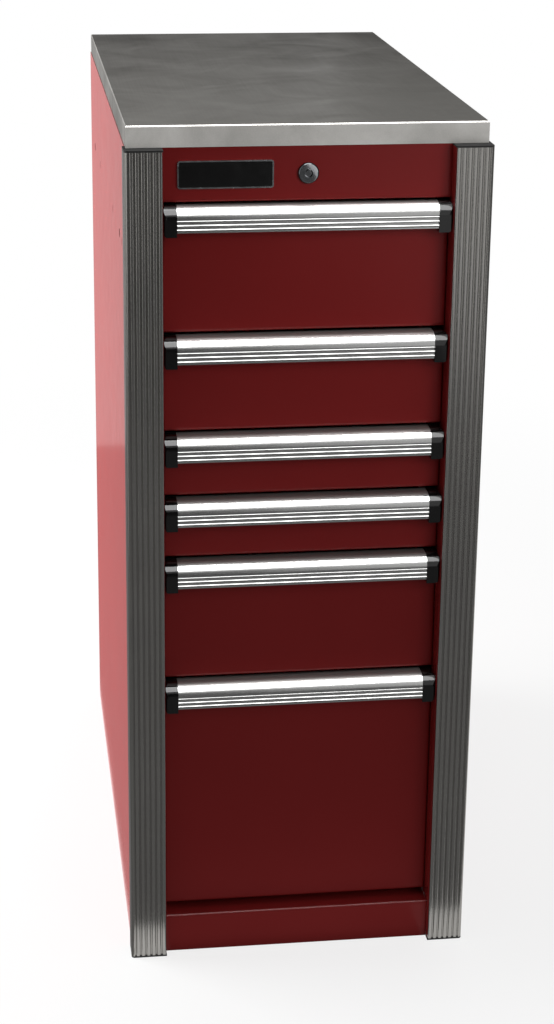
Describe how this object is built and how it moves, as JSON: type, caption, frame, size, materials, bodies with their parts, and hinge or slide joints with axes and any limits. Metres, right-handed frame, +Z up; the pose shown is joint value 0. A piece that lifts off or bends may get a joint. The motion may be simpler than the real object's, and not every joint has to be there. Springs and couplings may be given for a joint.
{
  "type": "tool chest side cabinet",
  "caption": "Tall narrow steel tool cabinet with stacked drawers on full-extension slides, extruded pulls, fluted corner trims, a stainless worktop and a key lock.",
  "frame": {"origin": "centre of the footprint, on the floor", "axes": "+Z up, the drawer fronts face -Y, +X to the right as seen from the front"},
  "size_m": [0.419, 0.762, 1.043],
  "materials": {
    "red_paint": "dark red powder coat, semi-gloss",
    "stainless": "brushed stainless sheet",
    "trim_alloy": "satin anodised extrusion",
    "pull_alloy": "bright anodised extrusion",
    "black_plastic": "moulded black plastic, satin",
    "chrome": "chrome plate",
    "zinc": "zinc-plated steel",
    "board": "raw board, hidden in the worktop"
  },
  "bodies": {
    "cabinet": {"side_panel_left": "red_paint", "side_panel_right": "red_paint", "back_panel": "red_paint", "base_pan": "red_paint", "kick_panel": "red_paint", "header_panel": "red_paint", "top_panel": "red_paint", "worktop": "stainless", "worktop_core": "board", "corner_trim_left": "trim_alloy", "corner_trim_right": "trim_alloy", "trim_end_caps": "black_plastic", "slide_upright_left": "zinc", "slide_upright_right": "zinc", "slide_outers": "zinc", "badge_plate": "black_plastic", "badge_frame": "chrome", "lock_housing": "chrome", "lock_nut": "zinc", "lock_rod_bracket": "zinc", "lock_bar_guides": "zinc"},
    "drawer_1": {"drawer_1_box": "red_paint", "drawer_1_front": "red_paint", "drawer_1_handle": "pull_alloy", "drawer_1_handle_caps": "black_plastic", "drawer_1_slide_inner": "zinc"},
    "slide_mid_1": {"drawer_1_slide_mid": "zinc"},
    "drawer_2": {"drawer_2_box": "red_paint", "drawer_2_front": "red_paint", "drawer_2_handle": "pull_alloy", "drawer_2_handle_caps": "black_plastic", "drawer_2_slide_inner": "zinc"},
    "slide_mid_2": {"drawer_2_slide_mid": "zinc"},
    "drawer_3": {"drawer_3_box": "red_paint", "drawer_3_front": "red_paint", "drawer_3_handle": "pull_alloy", "drawer_3_handle_caps": "black_plastic", "drawer_3_slide_inner": "zinc"},
    "slide_mid_3": {"drawer_3_slide_mid": "zinc"},
    "drawer_4": {"drawer_4_box": "red_paint", "drawer_4_front": "red_paint", "drawer_4_handle": "pull_alloy", "drawer_4_handle_caps": "black_plastic", "drawer_4_slide_inner": "zinc"},
    "slide_mid_4": {"drawer_4_slide_mid": "zinc"},
    "drawer_5": {"drawer_5_box": "red_paint", "drawer_5_front": "red_paint", "drawer_5_handle": "pull_alloy", "drawer_5_handle_caps": "black_plastic", "drawer_5_slide_inner": "zinc"},
    "slide_mid_5": {"drawer_5_slide_mid": "zinc"},
    "drawer_6": {"drawer_6_box": "red_paint", "drawer_6_front": "red_paint", "drawer_6_handle": "pull_alloy", "drawer_6_handle_caps": "black_plastic", "drawer_6_slide_inner": "zinc"},
    "slide_mid_6": {"drawer_6_slide_mid": "zinc"},
    "lock_cylinder": {"lock_plug": "chrome", "lock_rod": "zinc"},
    "lock_bar": {"lock_bar": "zinc"}
  },
  "joints": [
    {"name": "drawer_1_slide", "type": "slide", "parent": "cabinet", "child": "drawer_1", "axis": [0, -1, 0], "range_m": [0, 0.6]},
    {"name": "slide_mid_1_slide", "type": "slide", "parent": "cabinet", "child": "slide_mid_1", "axis": [0, -1, 0], "range_m": [0, 0.3]},
    {"name": "drawer_2_slide", "type": "slide", "parent": "cabinet", "child": "drawer_2", "axis": [0, -1, 0], "range_m": [0, 0.6]},
    {"name": "slide_mid_2_slide", "type": "slide", "parent": "cabinet", "child": "slide_mid_2", "axis": [0, -1, 0], "range_m": [0, 0.3]},
    {"name": "drawer_3_slide", "type": "slide", "parent": "cabinet", "child": "drawer_3", "axis": [0, -1, 0], "range_m": [0, 0.6]},
    {"name": "slide_mid_3_slide", "type": "slide", "parent": "cabinet", "child": "slide_mid_3", "axis": [0, -1, 0], "range_m": [0, 0.3]},
    {"name": "drawer_4_slide", "type": "slide", "parent": "cabinet", "child": "drawer_4", "axis": [0, -1, 0], "range_m": [0, 0.6]},
    {"name": "slide_mid_4_slide", "type": "slide", "parent": "cabinet", "child": "slide_mid_4", "axis": [0, -1, 0], "range_m": [0, 0.3]},
    {"name": "drawer_5_slide", "type": "slide", "parent": "cabinet", "child": "drawer_5", "axis": [0, -1, 0], "range_m": [0, 0.6]},
    {"name": "slide_mid_5_slide", "type": "slide", "parent": "cabinet", "child": "slide_mid_5", "axis": [0, -1, 0], "range_m": [0, 0.3]},
    {"name": "drawer_6_slide", "type": "slide", "parent": "cabinet", "child": "drawer_6", "axis": [0, -1, 0], "range_m": [0, 0.6]},
    {"name": "slide_mid_6_slide", "type": "slide", "parent": "cabinet", "child": "slide_mid_6", "axis": [0, -1, 0], "range_m": [0, 0.3]},
    {"name": "lock_turn", "type": "hinge", "parent": "cabinet", "child": "lock_cylinder", "pos_m": [0, -0.361, 0.9865], "axis": [0, 1, 0], "range_deg": [0, 90]},
    {"name": "lock_bar_shift", "type": "slide", "parent": "cabinet", "child": "lock_bar", "axis": [1, 0, 0], "range_m": [0, 0.01131]}
  ],
  "couplings": [
    {"joint": "slide_mid_1_slide", "follows": "drawer_1_slide", "ratio": 0.5},
    {"joint": "slide_mid_2_slide", "follows": "drawer_2_slide", "ratio": 0.5},
    {"joint": "slide_mid_3_slide", "follows": "drawer_3_slide", "ratio": 0.5},
    {"joint": "slide_mid_4_slide", "follows": "drawer_4_slide", "ratio": 0.5},
    {"joint": "slide_mid_5_slide", "follows": "drawer_5_slide", "ratio": 0.5},
    {"joint": "slide_mid_6_slide", "follows": "drawer_6_slide", "ratio": 0.5},
    {"joint": "lock_turn", "follows": "lock_bar_shift", "rad_per_m": 138.84}
  ]
}
